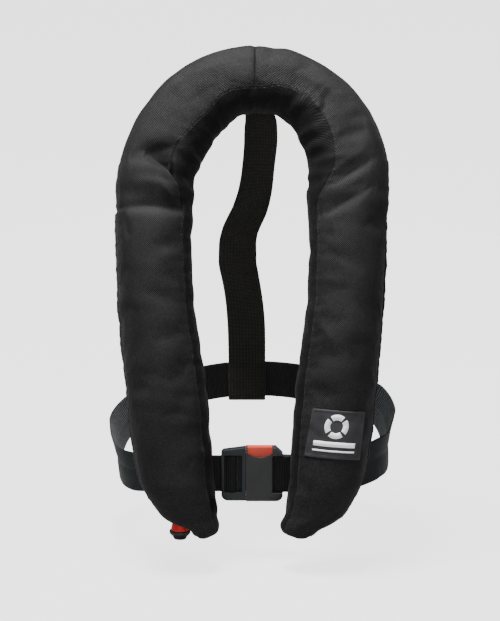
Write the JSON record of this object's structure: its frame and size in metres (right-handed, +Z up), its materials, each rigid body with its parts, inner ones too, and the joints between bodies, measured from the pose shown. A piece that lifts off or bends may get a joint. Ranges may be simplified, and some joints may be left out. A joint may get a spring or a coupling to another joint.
{
  "type": "inflatable life jacket",
  "caption": "Horseshoe life jacket: folded gas-inflated bladder in a black cover, with waist belt, side-release buckle, back strap, pull handle and oral tube.",
  "frame": {"origin": "centre of the waist belt's loop, where the wearer's torso passes through", "axes": "+Z up along the wearer's body, -Y the way the wearer faces, +X to the wearer's left"},
  "size_m": [0.314, 0.2691, 0.5058],
  "materials": {
    "cover_cloth": "coarse woven polyester, matt, near black",
    "piping": "woven cord edge, charcoal",
    "hook_and_loop": "hook and loop tape",
    "label_pvc": "moulded soft PVC, satin charcoal",
    "label_print": "raised white PVC",
    "bladder_cloth": "coated yellow cloth, folded",
    "reflective_tape": "grey glass-bead reflective tape",
    "webbing": "blue-black polyester webbing, ribbed",
    "keeper_plastic": "moulded black",
    "buckle_plastic": "moulded acetal, fine grain, dark grey",
    "button_red": "moulded orange-red",
    "spring_steel": "bright spring wire",
    "inflator_plastic": "moulded black",
    "cylinder_steel": "zinc plated",
    "seal_brass": "thin brass disc",
    "gasket_rubber": "black nitrile",
    "lever_red": "moulded red",
    "pin_steel": "ground steel",
    "cartridge_white": "pressed water-soluble element",
    "cap_green": "moulded green",
    "manifold_alloy": "turned",
    "indicator_green": "clear green window",
    "cord": "braided black cord",
    "handle_red": "moulded deep red",
    "handle_black": "moulded black",
    "tube_rubber": "yellow rubber tube",
    "poppet_white": "moulded white",
    "whistle_orange": "moulded orange",
    "lanyard_white": "braided white cord"
  },
  "bodies": {
    "jacket": {"cover_front_left": "cover_cloth", "cover_front_right": "cover_cloth", "cover_back": "cover_cloth", "edge_piping": "piping", "closure_hook_tape": "hook_and_loop", "closure_loop_tape": "hook_and_loop", "label_patch": "label_pvc", "label_mark": "label_print", "bladder": "bladder_cloth", "reflective_patches": "reflective_tape", "belt_loops": "webbing", "back_strap": "webbing", "waist_belt": "webbing", "buckle_housing": "buckle_plastic", "button_spring": "spring_steel", "inflator_body": "inflator_plastic", "cylinder_gasket": "gasket_rubber", "lever_pin": "pin_steel", "firing_spring": "spring_steel", "auto_cartridge": "cartridge_white", "manifold_stem": "manifold_alloy", "manifold_gasket": "gasket_rubber", "manifold_nut": "manifold_alloy", "status_indicator": "indicator_green", "oral_tube": "tube_rubber", "oral_valve_body": "inflator_plastic", "valve_spring": "spring_steel", "whistle": "whistle_orange", "whistle_lanyard": "lanyard_white"},
    "tongue": {"buckle_tongue": "buckle_plastic", "belt_adjuster_end": "webbing", "tail_keeper": "keeper_plastic"},
    "button": {"release_button": "button_red"},
    "lever": {"inflator_lever": "lever_red"},
    "cord": {"pull_cord": "cord", "pull_handle": "handle_red", "handle_end": "handle_black"},
    "striker": {"firing_pin": "pin_steel"},
    "gas": {"co2_cylinder": "cylinder_steel", "cylinder_seal": "seal_brass"},
    "cartridge_cap": {"cartridge_cap": "cap_green"},
    "oral_cap": {"oral_cap": "inflator_plastic"},
    "poppet": {"valve_poppet": "poppet_white"}
  },
  "joints": [
    {"name": "tongue_slide", "type": "slide", "parent": "jacket", "child": "tongue", "axis": [-1, 0, 0], "range_m": [0, 0.03]},
    {"name": "button_press", "type": "slide", "parent": "jacket", "child": "button", "axis": [0, 0, -1], "range_m": [0, 0.0035], "stiffness_N_per_m": 900, "deforming": ["button_spring"]},
    {"name": "lever_swing", "type": "hinge", "parent": "jacket", "child": "lever", "pos_m": [-0.098, -0.12161, 0.01292], "axis": [0, 0.9678, -0.2519], "range_deg": [0, 60]},
    {"name": "cord_hang", "type": "hinge", "parent": "lever", "child": "cord", "pos_m": [-0.07722, -0.11858, 0.02454], "axis": [0, 0.9678, -0.2519], "range_deg": [-60, 0]},
    {"name": "striker_lift", "type": "slide", "parent": "jacket", "child": "striker", "axis": [0, 0.2519, 0.9678], "range_m": [0, 0.005], "deforming": ["firing_spring"]},
    {"name": "gas_cylinder_unscrew", "type": "hinge", "parent": "jacket", "child": "gas", "pos_m": [-0.098, -0.10184, 0.10078], "axis": [0, 0.2519, 0.9678], "continuous": true},
    {"name": "cartridge_cap_unscrew", "type": "hinge", "parent": "jacket", "child": "cartridge_cap", "pos_m": [-0.098, -0.13106, -0.01148], "axis": [0, 0.2519, 0.9678], "continuous": true},
    {"name": "oral_cap_lift", "type": "slide", "parent": "jacket", "child": "oral_cap", "axis": [0, 0.2519, 0.9678], "range_m": [0, 0.02]},
    {"name": "oral_valve_press", "type": "slide", "parent": "jacket", "child": "poppet", "axis": [0, -0.2519, -0.9678], "range_m": [0, 0.003], "stiffness_N_per_m": 400, "deforming": ["valve_spring"]}
  ],
  "couplings": [
    {"joint": "cord_hang", "follows": "lever_swing", "ratio": -1},
    {"joint": "striker_lift", "follows": "lever_swing", "m_per_rad": 0.0047}
  ]
}
